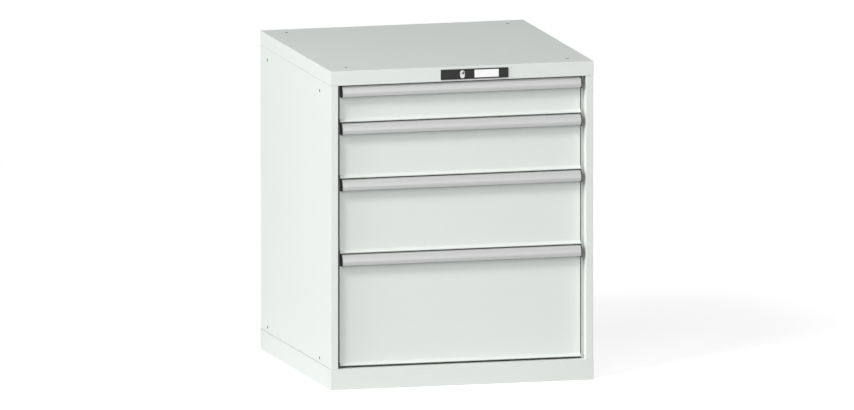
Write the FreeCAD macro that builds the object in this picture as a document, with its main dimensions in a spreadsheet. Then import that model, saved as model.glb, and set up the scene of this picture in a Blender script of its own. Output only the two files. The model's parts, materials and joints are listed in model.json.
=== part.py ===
"""Multi-drawer cabinet: a sheet-steel housing with four full-width drawers, roller slides and a central lock.

Frame: millimetres, +Z up, the front faces -Y, +X is to the right seen from the front. The origin is the
middle of the overall box on the floor. Drawer 1 is the top one. Every size comes from the sheet "Sizes".
"""

import FreeCAD, Part
import math
import os
import Sketcher

from FreeCAD import Placement, Rotation, Vector

DIMENSIONS = {
    # Housing
    "width": 717.0,
    "depth": 725.0,
    "height": 850.0,
    "cover_height": 38.5,
    "plinth_height": 55.0,
    "sheet": 1.5,
    "bend": 1.0,
    "inset": 1.0,
    "upright_face": 20.0,
    "upright_return": 30.5,
    "upright_flange": 8.0,
    "rear_flange": 20.0,
    "cover_lip": 20.0,
    "cover_side_lip": 4.0,
    "plinth_flange": 25.0,
    # Holes of the housing, from the cabinet's middle and its front plane
    "fixing_radius": 4.0,
    "top_hole_spacing": 603.0,
    "top_hole_first": 57.5,
    "top_hole_last": 670.5,
    "side_hole_first": 118.5,
    "side_hole_last": 654.0,
    "side_hole_low": 69.0,
    "side_hole_high": 781.5,
    # Slotted columns
    "column_depth": 45.0,
    "column_front": 59.0,
    "column_rear": 640.0,
    "column_slot_width": 4.0,
    "column_slot_tall": 10.0,
    "column_slot_pitch": 25.0,
    "column_slot_first": 81.5,
    # Drawers
    "drawer_base": 60.5,
    "gap": 3.0,
    "front_width": 655.5,
    "front_recess": 23.0,
    "front_depth": 19.0,
    "lip_size": 9.2,
    "lip_round": 2.0,
    "lip_flange": 24.0,
    "tray_width": 612.0,
    "tray_length": 612.0,
    "tray_sheet": 1.2,
    "tray_floor": 11.0,
    "tray_spare": 25.0,
    "tray_rim": 3.5,
    "tray_slot_width": 3.0,
    "tray_slot_tall": 12.0,
    "tray_slot_drop": 8.0,
    "tray_slot_pitch": 17.0,
    # Handle
    "handle_proud": 22.5,
    "handle_wall": 2.0,
    "handle_corner": 4.0,
    "handle_bow": 25.0,
    "handle_bow_drop": 19.0,
    "handle_crease_drop": 20.1,
    "handle_end_drop": 26.8,
    "handle_lean": 1.4,
    "handle_flange_drop": 28.0,
    "cap_thick": 3.0,
    "cap_end_drop": 29.5,
    "cap_corner": 2.5,
    # Slides
    "rail_rise": 22.0,
    "rail_inner": 314.5,
    "rail_web": 332.0,
    "rail_sheet": 1.5,
    "rail_flange": 2.0,
    "rail_tall": 30.0,
    "rail_front": 57.0,
    "rail_length": 638.0,
    "rail_hook_reach": 4.0,
    "rail_hook_width": 3.0,
    "rail_hook_tall": 6.0,
    "rail_hook_rise": 1.0,
    "runner_sheet": 2.0,
    "runner_reach": 328.5,
    "runner_length": 644.0,
    "runner_drop": 4.0,
    "carriage_inner": 310.2,
    "carriage_sheet": 3.0,
    "carriage_rise": 6.0,
    "carriage_tall": 14.0,
    "carriage_front": 60.0,
    "carriage_length": 628.0,
    "roller_radius": 10.7,
    "roller_width": 8.0,
    "roller_inner": 318.5,
    "roller_chamfer": 1.2,
    "roller_rise": 13.0,
    "pin_radius": 3.0,
    "pin_play": 0.05,
    "pin_head_radius": 4.5,
    "pin_head": 1.8,
    "pin_end_play": 0.3,
    "roller_front": 76.0,
    "roller_middle": 375.0,
    "roller_rear": 674.0,
    # Lock
    "strip_left": -58.5,
    "strip_length": 183.8,
    "strip_low": 815.9,
    "strip_tall": 27.0,
    "strip_proud": 2.2,
    "strip_corner": 1.6,
    "card_left": 32.8,
    "card_length": 66.7,
    "card_tall": 21.2,
    "card_recess": 0.8,
    "card_thick": 0.5,
    "lock_proud": 3.0,
    "lock_width": 12.6,
    "lock_tall": 21.2,
    "lock_middle": 829.25,
    "lock_back": 36.0,
    "lock_play": 0.2,
    "crossmember_depth": 41.0,
    "plug_radius": 5.0,
    "plug_play": 0.05,
    "key_slot_width": 2.0,
    "key_slot_tall": 7.0,
    "key_slot_depth": 14.0,
    "crank": 12.0,
    "crank_pin": 2.0,
    "crank_sheet": 2.5,
    "crank_gap": 1.0,
    "link_gap": 0.8,
    "link_sheet": 2.0,
    "link_low": 814.8,
    "link_tall": 16.0,
    "link_slot_play": 0.45,
    "crank_slot_play": 0.8,
    "bar_pin": 2.5,
    "bar_pin_x": -328.0,
    "bar_pin_z": 821.5,
    "bar_gap": 1.0,
    "bar_arm": 3.0,
    "bar_outer": -352.0,
    "bar_sheet": 3.0,
    "bar_depth": 10.0,
    "bar_low": 90.0,
    "hook_reach": -325.5,
    "hook_front": 46.0,
    "hook_depth": 8.0,
    "hook_rise": 30.0,
    "hook_tall": 8.0,
    "catch_front": 55.0,
    "catch_sheet": 2.0,
    "catch_rise": 42.0,
    "catch_tall": 12.0,
    "catch_reach": 328.5,
    "catch_length": 30.0,
    "guide_wall": 1.5,
    "guide_play": 0.3,
    "guide_tall": 12.0,
    "guide_first": 200.0,
    "guide_step": 250.0,
    # Screws of the back panel
    "screw_radius": 2.0,
    "screw_head_radius": 4.0,
    "screw_head": 1.0,
    "screw_length": 8.0,
    "screw_play": 0.1,
    "screw_inset": 10.0,
    "screw_first": 40.0,
}
DRAWER_HEIGHTS = {"pitch_one": 100.0, "pitch_two": 150.0, "pitch_three": 200.0, "pitch_four": 300.0}
COLUMN_SLOTS = 28
TRAY_SLOTS = 34
SCREWS_PER_SIDE = 4
GUIDES = 3

doc = FreeCAD.newDocument("MultiDrawerCabinet")
sheet = doc.addObject("Spreadsheet::Sheet", "Sizes")
for row, (alias, number) in enumerate({**DIMENSIONS, **DRAWER_HEIGHTS}.items(), start=1):
    sheet.set(f"A{row}", alias)
    sheet.set(f"B{row}", str(number))
    sheet.setAlias(f"B{row}", alias)
doc.recompute()


class Size:
    """A length that holds both its number and the spreadsheet formula that gives it."""

    def __init__(self, value, formula):
        self.value = float(value)
        self.formula = formula

    def __add__(self, other):
        other = as_size(other)
        return Size(self.value + other.value, f"({self.formula} + {other.formula})")

    def __sub__(self, other):
        other = as_size(other)
        return Size(self.value - other.value, f"({self.formula} - {other.formula})")

    def __mul__(self, factor):
        return Size(self.value * factor, f"({self.formula} * {factor})")

    def __truediv__(self, divisor):
        return Size(self.value / divisor, f"({self.formula} / {divisor})")

    def __neg__(self):
        return Size(-self.value, f"(-{self.formula})")

    def __radd__(self, other):
        return as_size(other) + self

    def __rsub__(self, other):
        return as_size(other) - self


def as_size(number):
    return number if isinstance(number, Size) else Size(number, f"({float(number)})")


def cell(alias):
    """The named cell of the sheet as a Size."""
    return Size(sheet.get(alias), f"Sizes.{alias}")


SHEET = cell("sheet")
FRONT = cell("lock_proud") / 2 - cell("depth") / 2
BACK = FRONT + cell("depth")
SIDE = cell("width") / 2
COVER_LOW = cell("height") - cell("cover_height")
PLINTH_TOP = cell("plinth_height")
WALL_OUT = SIDE - cell("inset")
WALL_IN = WALL_OUT - SHEET
COLUMN_IN = cell("rail_web") + cell("rail_sheet")
PANEL_FACE = FRONT + cell("front_recess")
TRAY_FRONT = PANEL_FACE + cell("front_depth")
PLUG_Z = cell("lock_middle") + (cell("lock_tall") - cell("lock_width")) / 2
CRANK_Y = FRONT + cell("lock_back") + cell("crank_gap")
LINK_Y = CRANK_Y + cell("crank_sheet") + cell("link_gap")
BAR_Y = LINK_Y + cell("link_sheet") + cell("bar_gap")
DIAGONAL = math.sqrt(0.5)
LIP_TURN = math.tan(math.pi / 8)

AXES = {"x": Vector(1, 0, 0), "y": Vector(0, 1, 0), "z": Vector(0, 0, 1)}
VIEWS = {"plan": "XY_Plane", "front": "XZ_Plane", "side": "YZ_Plane"}
START, FINISH, CENTRE = 1, 2, 3
TINY = 0.01


def bind(thing, path, size):
    thing.setExpression(path, as_size(size).formula)


def place(thing, x, y, z, rotation=None):
    """Puts an object at a point of the cabinet, and keeps it there by formula."""
    x, y, z = as_size(x), as_size(y), as_size(z)
    thing.Placement = Placement(Vector(x.value, y.value, z.value), rotation or Rotation())
    for letter, size in (("x", x), ("y", y), ("z", z)):
        bind(thing, f".Placement.Base.{letter}", size)
    return thing


def block(name, x, y, z):
    """A box between two sizes along each axis."""
    box = doc.addObject("Part::Box", name)
    for path, (low, high) in (("Length", x), ("Width", y), ("Height", z)):
        bind(box, path, as_size(high) - low)
    return place(box, x[0], y[0], z[0])


def rod(name, axis, start, length, radius):
    """A cylinder from a point along one axis."""
    cylinder = doc.addObject("Part::Cylinder", name)
    bind(cylinder, "Radius", radius)
    bind(cylinder, "Height", length)
    return place(cylinder, *start, Rotation(Vector(0, 0, 1), AXES[axis]))


def fuse(name, pieces):
    union = doc.addObject("Part::MultiFuse", name)
    union.Shapes = pieces
    union.Refine = True
    return union


def cut(name, base, tool):
    difference = doc.addObject("Part::Cut", name)
    difference.Base = base
    difference.Tool = tool
    return difference


def group(name, pieces):
    """Separate solids that make one sub-part."""
    compound = doc.addObject("Part::Compound", name)
    compound.Links = pieces
    return compound


def mirrored(name, piece):
    """The same piece on the other side of the cabinet."""
    mirror = doc.addObject("Part::Mirroring", name)
    mirror.Source = piece
    mirror.Normal = Vector(1, 0, 0)
    return mirror


def pair(name, right):
    """A right-hand piece and its mirror image."""
    return group(name, [right, mirrored(name + "_mirror", right)])


def new_body(name):
    return doc.addObject("PartDesign::Body", name)


def origin_part(body, role):
    return next(part for part in body.Origin.OriginFeatures if part.Role == role)


def new_sketch(body, view, level):
    """A sketch that looks along z (plan), y (front) or x (side), at a level on that axis."""
    sketch = body.newObject("Sketcher::SketchObject", f"{body.Name}_{view}")
    sketch.AttachmentSupport = [(origin_part(body, VIEWS[view]), "")]
    sketch.MapMode = "FlatFace"
    bind(sketch, "AttachmentOffset.Base.z", -as_size(level) if view == "front" else level)
    return sketch


def looks_along_y(sketch):
    return sketch.AttachmentSupport[0][0].Role == VIEWS["front"]


def hold(sketch, edge, end, point):
    """Holds an end or the centre of an edge at a point of the sketch; None leaves that direction free."""
    for kind, size in zip(("DistanceX", "DistanceY"), point):
        if size is not None:
            size = as_size(size)
            index = sketch.addConstraint(Sketcher.Constraint(kind, -1, 1, edge, end, size.value))
            bind(sketch, f"Constraints[{index}]", size)


def hold_radius(sketch, edge, radius):
    index = sketch.addConstraint(Sketcher.Constraint("Radius", edge, radius.value))
    bind(sketch, f"Constraints[{index}]", radius)


def vector(point):
    return Vector(as_size(point[0]).value, as_size(point[1]).value, 0)


def outline(sketch, points):
    """A closed outline of straight edges, each corner held at its place."""
    first = sketch.GeometryCount
    count = len(points)
    for index, point in enumerate(points):
        following = points[(index + 1) % count]
        sketch.addGeometry(Part.LineSegment(vector(point), vector(following)), False)
    for index, point in enumerate(points):
        edge = first + index
        following = first + (index + 1) % count
        sketch.addConstraint(Sketcher.Constraint("Coincident", edge, FINISH, following, START))
        hold(sketch, edge, START, point)


def rectangle(sketch, x, y):
    outline(sketch, [(x[0], y[0]), (x[1], y[0]), (x[1], y[1]), (x[0], y[1])])


def circle(sketch, centre, radius):
    edge = sketch.addGeometry(Part.Circle(vector(centre), AXES["z"], radius.value), False)
    hold(sketch, edge, CENTRE, centre)
    hold_radius(sketch, edge, radius)


def pad(body, sketch, length):
    """Adds material from the sketch's level towards the positive end of its axis."""
    feature = body.newObject("PartDesign::Pad", f"{body.Name}_pad")
    feature.Profile = sketch
    feature.Reversed = looks_along_y(sketch)
    bind(feature, "Length", length)
    doc.recompute()
    return feature


def pocket(body, sketch, length):
    """Removes material from the sketch's level towards the positive end of its axis."""
    before = body.Shape.Volume
    feature = body.newObject("PartDesign::Pocket", f"{body.Name}_pocket")
    feature.Profile = sketch
    feature.Reversed = not looks_along_y(sketch)
    bind(feature, "Length", length)
    doc.recompute()
    if body.Shape.Volume > before - TINY:
        raise RuntimeError(f"{feature.Name} removes nothing")
    return feature


def repeat(body, feature, role, pitch, count):
    """Repeats a feature along one of the body's axes."""
    pattern = body.newObject("PartDesign::LinearPattern", f"{body.Name}_row")
    pattern.Originals = [feature]
    pattern.Direction = (origin_part(body, role), [""])
    bind(pattern, "Length", pitch * (count - 1))
    pattern.Occurrences = count
    body.Tip = pattern
    doc.recompute()
    return pattern


def edges_at(shape, axis, x=None, y=None, z=None):
    """Names of the straight edges along an axis, or square to it if they all lie at the places given."""
    wanted = {"x": x, "y": y, "z": z}
    names = []
    for number, edge in enumerate(shape.Edges, start=1):
        if edge.Curve.TypeId != "Part::GeomLine":
            continue
        if abs(edge.tangentAt(edge.FirstParameter).dot(AXES[axis])) < 1 - TINY:
            continue
        middle = edge.CenterOfMass
        spots = {"x": middle.x, "y": middle.y, "z": middle.z}
        if all(
            places is None or any(abs(spots[letter] - as_size(spot).value) < TINY for spot in places)
            for letter, places in wanted.items()
        ):
            names.append(f"Edge{number}")
    return names


def round_off(body, radius, *choices):
    """Rounds the body's edges that the choices name."""
    base = body.Tip
    names = [name for choice in choices for name in edges_at(base.Shape, **choice)]
    if not names:
        raise RuntimeError(f"{body.Name} has no such edges to round")
    feature = body.newObject("PartDesign::Fillet", f"{body.Name}_round")
    feature.Base = (base, names)
    bind(feature, "Radius", radius)
    doc.recompute()
    return feature


def both(size):
    """A size to the left and to the right of the middle."""
    return (-as_size(size), as_size(size))


def stadium(sketch, middle, width, tall, play=0):
    """An upright oval with half-round ends."""
    radius = width / 2 + play
    ends = [(middle[0], middle[1] + side) for side in ((tall - width) / 2, (width - tall) / 2)]
    arcs = []
    for centre, first_angle in zip(ends, (0, math.pi)):
        ring = Part.Circle(vector(centre), AXES["z"], radius.value)
        arc = sketch.addGeometry(Part.ArcOfCircle(ring, first_angle, first_angle + math.pi), False)
        hold(sketch, arc, CENTRE, centre)
        hold_radius(sketch, arc, radius)
        arcs.append(arc)
    upper, lower = arcs
    for first, second, side in ((upper, lower, -radius), (lower, upper, radius)):
        high, low = ends if first == upper else reversed(ends)
        line = Part.LineSegment(vector((middle[0] + side, high[1])), vector((middle[0] + side, low[1])))
        edge = sketch.addGeometry(line, False)
        sketch.addConstraint(Sketcher.Constraint("Tangent", first, FINISH, edge, START))
        sketch.addConstraint(Sketcher.Constraint("Tangent", edge, FINISH, second, START))


def top_cover():
    """Folded pan, open below, with a narrow lip round its mouth."""
    body = new_body("top_cover")
    sketch = new_sketch(body, "plan", COVER_LOW)
    rectangle(sketch, both(SIDE), (FRONT, BACK))
    pad(body, sketch, cell("cover_height"))
    round_off(body, cell("bend"), {"axis": "z"}, {"axis": "x", "z": [cell("height")]},
              {"axis": "y", "z": [cell("height")]})
    sketch = new_sketch(body, "plan", COVER_LOW + SHEET)
    rectangle(sketch, both(SIDE - SHEET), (FRONT + SHEET, BACK - SHEET))
    pocket(body, sketch, cell("cover_height") - SHEET * 2)
    sketch = new_sketch(body, "plan", COVER_LOW)
    rectangle(sketch, both(SIDE - cell("cover_side_lip")),
              (FRONT + cell("cover_lip"), BACK - cell("cover_lip")))
    pocket(body, sketch, SHEET)
    sketch = new_sketch(body, "plan", cell("height") - SHEET)
    for x in both(cell("top_hole_spacing") / 2):
        for y in (cell("top_hole_first"), cell("top_hole_last")):
            circle(sketch, (x, FRONT + y), cell("fixing_radius"))
    pocket(body, sketch, SHEET)
    sketch = new_sketch(body, "front", FRONT)
    stadium(sketch, (0, cell("lock_middle")), cell("lock_width"), cell("lock_tall"), cell("lock_play"))
    pocket(body, sketch, SHEET)
    return body


def base_plinth():
    """Folded ring with a flange all round at its top and at the floor."""
    body = new_body("base_plinth")
    sketch = new_sketch(body, "plan", 0)
    rectangle(sketch, both(SIDE), (FRONT, BACK))
    pad(body, sketch, PLINTH_TOP)
    round_off(body, cell("bend"), {"axis": "z"})
    sketch = new_sketch(body, "plan", SHEET)
    rectangle(sketch, both(SIDE - SHEET), (FRONT + SHEET, BACK - SHEET))
    pocket(body, sketch, PLINTH_TOP - SHEET * 2)
    flange = cell("plinth_flange")
    sketch = new_sketch(body, "plan", 0)
    rectangle(sketch, both(SIDE - flange), (FRONT + flange, BACK - flange))
    pocket(body, sketch, PLINTH_TOP)
    return body


def bottom_panel():
    """Floor sheet of the housing, held under the plinth's top flange."""
    margin = SHEET + cell("guide_play")
    return block("bottom_panel", both(SIDE - margin), (FRONT + margin, BACK - margin),
                 (PLINTH_TOP - SHEET * 2, PLINTH_TOP - SHEET))


def screw_places():
    """Where the back panel's right-hand screws go, as (x, z)."""
    span = COVER_LOW - PLINTH_TOP - cell("screw_first") * 2
    x = WALL_OUT - cell("screw_inset")
    return [(x, PLINTH_TOP + cell("screw_first") + span * (number / (SCREWS_PER_SIDE - 1)))
            for number in range(SCREWS_PER_SIDE)]


def side_panel():
    """Folded sheet: outer wall, front upright with its return and inner flange, rear flange."""
    body = new_body("side_panel_right")
    near = FRONT + cell("inset")
    far = BACK - cell("inset") - SHEET
    face = WALL_OUT - cell("upright_face")
    turn = near + cell("upright_return")
    inner_end = face - cell("upright_flange")
    rear_end = WALL_OUT - cell("rear_flange")
    sketch = new_sketch(body, "plan", PLINTH_TOP)
    outline(sketch, [
        (WALL_OUT, near), (WALL_OUT, far), (rear_end, far), (rear_end, far - SHEET), (WALL_IN, far - SHEET),
        (WALL_IN, near + SHEET), (face + SHEET, near + SHEET), (face + SHEET, turn + SHEET),
        (inner_end, turn + SHEET), (inner_end, turn), (face, turn), (face, near),
    ])
    pad(body, sketch, COVER_LOW - PLINTH_TOP)
    round_off(body, cell("bend"), {"axis": "z", "x": [WALL_OUT], "y": [near, far]},
              {"axis": "z", "x": [face], "y": [near]})
    sketch = new_sketch(body, "side", WALL_IN)
    for y in (cell("side_hole_first"), cell("side_hole_last")):
        for z in (cell("side_hole_low"), cell("side_hole_high")):
            circle(sketch, (FRONT + y, z), cell("fixing_radius"))
    pocket(body, sketch, SHEET)
    sketch = new_sketch(body, "front", far - SHEET)
    for x, z in screw_places():
        circle(sketch, (x, z), cell("screw_radius") + cell("screw_play"))
    pocket(body, sketch, SHEET)
    return body


def back_panel():
    """Flat sheet over the side panels' rear flanges, with a hole for each screw."""
    body = new_body("back_panel")
    outside = BACK - cell("inset")
    sketch = new_sketch(body, "front", outside - SHEET)
    rectangle(sketch, both(WALL_OUT), (PLINTH_TOP, COVER_LOW))
    for x, z in screw_places():
        for side in (x, -x):
            circle(sketch, (side, z), cell("screw_radius") + cell("screw_play"))
    pad(body, sketch, SHEET)
    return body


def housing_screws():
    """Pan-head screws through the back panel and the rear flanges."""
    outside = BACK - cell("inset")
    screws = []
    for number, (x, z) in enumerate(screw_places()):
        for side, spot in (("right", x), ("left", -x)):
            name = f"screw_{side}_{number}"
            shank = rod(name + "_shank", "y", (spot, outside - cell("screw_length"), z),
                        cell("screw_length"), cell("screw_radius"))
            head = rod(name + "_head", "y", (spot, outside, z), cell("screw_head"), cell("screw_head_radius"))
            screws.append(fuse(name, [shank, head]))
    return group("housing_screws", screws)


def column(name, near):
    """Slotted C column between the plinth and the cover."""
    body = new_body(name)
    far = near + cell("column_depth")
    sketch = new_sketch(body, "plan", PLINTH_TOP)
    outline(sketch, [
        (COLUMN_IN, near), (WALL_IN, near), (WALL_IN, near + SHEET), (COLUMN_IN + SHEET, near + SHEET),
        (COLUMN_IN + SHEET, far - SHEET), (WALL_IN, far - SHEET), (WALL_IN, far), (COLUMN_IN, far),
    ])
    pad(body, sketch, COVER_LOW - PLINTH_TOP)
    round_off(body, cell("bend"), {"axis": "z", "x": [COLUMN_IN], "y": [near, far]})
    middle = near + cell("column_depth") / 2
    half = cell("column_slot_width") / 2
    sketch = new_sketch(body, "side", COLUMN_IN)
    rectangle(sketch, (middle - half, middle + half),
              (cell("column_slot_first"), cell("column_slot_first") + cell("column_slot_tall")))
    slot = pocket(body, sketch, SHEET)
    repeat(body, slot, "Z_Axis", cell("column_slot_pitch"), COLUMN_SLOTS)
    return body


def lock_crossmember():
    """Folded channel behind the cover's front wall, open to the rear."""
    body = new_body("lock_crossmember")
    near = FRONT + SHEET
    low = COVER_LOW + SHEET
    high = cell("height") - SHEET
    reach = SIDE - cell("upright_face")
    far = near + cell("crossmember_depth")
    sketch = new_sketch(body, "side", -reach)
    outline(sketch, [
        (near, low), (far, low), (far, low + SHEET), (near + SHEET, low + SHEET),
        (near + SHEET, high - SHEET), (far, high - SHEET), (far, high), (near, high),
    ])
    pad(body, sketch, reach * 2)
    sketch = new_sketch(body, "front", near)
    stadium(sketch, (0, cell("lock_middle")), cell("lock_width"), cell("lock_tall"), cell("lock_play"))
    pocket(body, sketch, SHEET)
    return body


def lock_strip():
    """Fascia plate with a recess for the label card and the cut-out for the lock."""
    body = new_body("lock_strip")
    face = FRONT - cell("strip_proud")
    left = cell("strip_left")
    right = left + cell("strip_length")
    low = cell("strip_low")
    high = low + cell("strip_tall")
    sketch = new_sketch(body, "front", face)
    rectangle(sketch, (left, right), (low, high))
    pad(body, sketch, cell("strip_proud"))
    round_off(body, cell("strip_corner"), {"axis": "y"})
    sketch = new_sketch(body, "front", face)
    card_low = low + (cell("strip_tall") - cell("card_tall")) / 2
    rectangle(sketch, (cell("card_left"), cell("card_left") + cell("card_length")),
              (card_low, card_low + cell("card_tall")))
    pocket(body, sketch, cell("card_recess"))
    sketch = new_sketch(body, "front", face)
    stadium(sketch, (0, cell("lock_middle")), cell("lock_width"), cell("lock_tall"), cell("lock_play"))
    pocket(body, sketch, cell("strip_proud"))
    return body


def label_card():
    """Plain card that lies in the strip's recess."""
    seat = FRONT - cell("strip_proud") + cell("card_recess")
    low = cell("strip_low") + (cell("strip_tall") - cell("card_tall")) / 2
    edge = cell("guide_play")
    return block("label_card", (cell("card_left") + edge, cell("card_left") + cell("card_length") - edge),
                 (seat - cell("card_thick"), seat), (low + edge, low + cell("card_tall") - edge))


def lock_cylinder():
    """Oval lock body with the bore of the plug in its upper half."""
    body = new_body("lock_cylinder")
    face = FRONT - cell("lock_proud")
    sketch = new_sketch(body, "front", face)
    stadium(sketch, (0, cell("lock_middle")), cell("lock_width"), cell("lock_tall"))
    circle(sketch, (0, PLUG_Z), cell("plug_radius") + cell("plug_play"))
    pad(body, sketch, cell("lock_proud") + cell("lock_back"))
    return body


def lock_plug():
    """Turning plug with an upright key slot in its face."""
    body = new_body("lock_plug")
    face = FRONT - cell("lock_proud")
    sketch = new_sketch(body, "front", face)
    circle(sketch, (0, PLUG_Z), cell("plug_radius"))
    pad(body, sketch, cell("lock_proud") + cell("lock_back") + cell("crank_gap"))
    sketch = new_sketch(body, "front", face)
    half = cell("key_slot_tall") / 2
    rectangle(sketch, both(cell("key_slot_width") / 2), (PLUG_Z - half, PLUG_Z + half))
    pocket(body, sketch, cell("key_slot_depth"))
    return body


def lock_cam():
    """Crank on the plug's rear end; its pin hangs half a right angle to the right of straight down."""
    body = new_body("lock_cam")
    offset = cell("crank") * DIAGONAL
    arm = cell("crank_pin") * 2
    middle = (offset, PLUG_Z - offset)
    shift = arm * DIAGONAL
    sketch = new_sketch(body, "front", CRANK_Y)
    outline(sketch, [
        (-shift, PLUG_Z - shift), (middle[0] - shift, middle[1] - shift),
        (middle[0] + shift, middle[1] + shift), (shift, PLUG_Z + shift),
    ])
    pad(body, sketch, cell("crank_sheet"))
    sketch = new_sketch(body, "front", CRANK_Y)
    circle(sketch, (0, PLUG_Z), cell("plug_radius") + SHEET)
    pad(body, sketch, cell("crank_sheet"))
    sketch = new_sketch(body, "front", CRANK_Y)
    circle(sketch, middle, arm)
    pad(body, sketch, cell("crank_sheet"))
    sketch = new_sketch(body, "front", CRANK_Y)
    circle(sketch, middle, cell("crank_pin"))
    pad(body, sketch, cell("crank_sheet") + cell("link_gap") + cell("link_sheet") + cell("bar_gap") / 2)
    return body


def lock_link():
    """Flat link: an upright slot for the crank's pin, an inclined slot that lifts the bar."""
    body = new_body("lock_link")
    swing = cell("crank") * DIAGONAL
    travel = swing * 2
    pin_x = cell("bar_pin_x")
    pin_z = cell("bar_pin_z")
    slot = cell("bar_pin") + cell("link_slot_play")
    wall = cell("bar_arm")
    low = cell("link_low")
    high = low + cell("link_tall")
    head_left = pin_x - slot - wall
    head_right = pin_x + travel + slot + wall
    head_high = pin_z + travel + slot + wall
    right = swing + cell("crank_pin") + wall * 2
    sketch = new_sketch(body, "front", LINK_Y)
    outline(sketch, [
        (head_left, low), (right, low), (right, high), (head_right, high), (head_right, head_high),
        (head_left, head_high),
    ])
    pad(body, sketch, cell("link_sheet"))
    sketch = new_sketch(body, "front", LINK_Y)
    half = cell("crank_pin") + cell("crank_slot_play")
    rectangle(sketch, (swing - half, swing + half),
              (PLUG_Z - cell("crank") - half, PLUG_Z - swing + half))
    pocket(body, sketch, cell("link_sheet"))
    sketch = new_sketch(body, "front", LINK_Y)
    tip = slot / DIAGONAL
    end_x = pin_x + travel
    end_z = pin_z + travel
    outline(sketch, [(pin_x - tip, pin_z), (pin_x, pin_z - tip), (end_x + tip, end_z), (end_x, end_z + tip)])
    pocket(body, sketch, cell("link_sheet"))
    return body


def rail_low(base):
    """Underside of a drawer's rails."""
    return base + cell("rail_rise")


def lock_bar(bases):
    """Upright bar with a cranked top arm, its pin, and one hook below each drawer's catch."""
    outer = cell("bar_outer")
    inner = outer + cell("bar_sheet")
    arm_low = cell("link_low")
    arm_high = cell("bar_pin_z") + cell("bar_pin") * 2
    near = BAR_Y
    pieces = [
        block("lock_bar_upright", (outer, inner), (near, near + cell("bar_depth")),
              (cell("bar_low"), arm_high)),
        block("lock_bar_arm", (outer, cell("bar_pin_x") + cell("bar_pin") * 2),
              (near, near + cell("bar_arm")), (arm_low, arm_high)),
        rod("lock_bar_pin", "y", (cell("bar_pin_x"), LINK_Y - cell("link_gap") / 2, cell("bar_pin_z")),
            near - LINK_Y + cell("link_gap"), cell("bar_pin")),
    ]
    hook_near = FRONT + cell("hook_front")
    for number, base in enumerate(bases, start=1):
        low = rail_low(base) + cell("hook_rise")
        pieces.append(block(f"lock_bar_hook_{number}", (inner, cell("hook_reach")),
                            (hook_near, hook_near + cell("hook_depth")), (low, low + cell("hook_tall"))))
    return fuse("lock_bar", pieces)


def lock_bar_guides():
    """Three guides on the left side panel, each a block with a slot for the bar."""
    play = cell("guide_play")
    wall = cell("guide_wall")
    outer = cell("bar_outer") - play
    inner = cell("bar_outer") + cell("bar_sheet") + play
    near = BAR_Y - play
    far = BAR_Y + cell("bar_depth") + play
    guides = []
    for number in range(GUIDES):
        low = cell("guide_first") + cell("guide_step") * number
        high = low + cell("guide_tall")
        frame = block(f"guide_{number}_frame", (-WALL_IN, inner + wall), (near - wall, far + wall),
                      (low, high))
        hole = block(f"guide_{number}_hole", (outer, inner), (near, far), (low - wall, high + wall))
        guides.append(cut(f"guide_{number}", frame, hole))
    return group("lock_bar_guides", guides)


def tray(name, base, pitch):
    """Folded tray with a row of slots in each wall and an outward rim."""
    body = new_body(name)
    wall = cell("tray_sheet")
    half = cell("tray_width") / 2
    near = TRAY_FRONT
    far = near + wall * 2 + cell("tray_length")
    low = base + cell("tray_floor")
    high = base + pitch + cell("tray_floor") - cell("tray_spare")
    rim = cell("tray_rim")
    sketch = new_sketch(body, "plan", low)
    rectangle(sketch, both(half + wall), (near, far))
    pad(body, sketch, high - low)
    round_off(body, cell("bend"), {"axis": "z"})
    sketch = new_sketch(body, "plan", high - wall)
    rectangle(sketch, both(half + wall + rim), (near, far + rim))
    pad(body, sketch, wall)
    sketch = new_sketch(body, "plan", low + wall)
    rectangle(sketch, both(half), (near + wall, far - wall))
    pocket(body, sketch, high - low - wall)
    slot_high = high - cell("tray_slot_drop")
    slot_low = slot_high - cell("tray_slot_tall")
    slot_half = cell("tray_slot_width") / 2
    span = cell("tray_slot_pitch") * (TRAY_SLOTS - 1)
    first_y = near + wall + (cell("tray_length") - span) / 2
    sketch = new_sketch(body, "side", -(half + wall * 2))
    rectangle(sketch, (first_y - slot_half, first_y + slot_half), (slot_low, slot_high))
    slots = pocket(body, sketch, (half + wall * 2) * 2)
    repeat(body, slots, "Y_Axis", cell("tray_slot_pitch"), TRAY_SLOTS)
    first_x = -span / 2
    sketch = new_sketch(body, "front", near - wall)
    rectangle(sketch, (first_x - slot_half, first_x + slot_half), (slot_low, slot_high))
    slots = pocket(body, sketch, far - near + wall * 2)
    repeat(body, slots, "X_Axis", cell("tray_slot_pitch"), TRAY_SLOTS)
    return body


def drawer_front(name, base, pitch):
    """Folded front: face, lip at half a right angle with its flange below, side and top flanges behind."""
    body = new_body(name)
    half = cell("front_width") / 2
    face = PANEL_FACE
    rear = TRAY_FRONT
    high = base + pitch - cell("gap") - cell("handle_wall")
    fold = base + cell("lip_size")
    tip = face - cell("lip_size")
    corner = tip + SHEET / LIP_TURN
    sketch = new_sketch(body, "side", -half)
    outline(sketch, [
        (face, high), (face, fold), (tip, base), (tip + cell("lip_flange"), base),
        (tip + cell("lip_flange"), base + SHEET), (corner, base + SHEET),
        (face + SHEET, fold - SHEET * LIP_TURN), (face + SHEET, high - SHEET),
        (rear, high - SHEET), (rear, high),
    ])
    pad(body, sketch, half * 2)
    for side in (-half, half - SHEET):
        sketch = new_sketch(body, "side", side)
        rectangle(sketch, (face, rear), (fold, high))
        pad(body, sketch, SHEET)
    round_off(body, cell("bend"), {"axis": "z", "x": both(half), "y": [face]})
    round_off(body, cell("lip_round"), {"axis": "x", "y": [tip], "z": [base]})
    round_off(body, cell("lip_round") - SHEET, {"axis": "x", "y": [corner], "z": [base + SHEET]})
    return body


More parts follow.
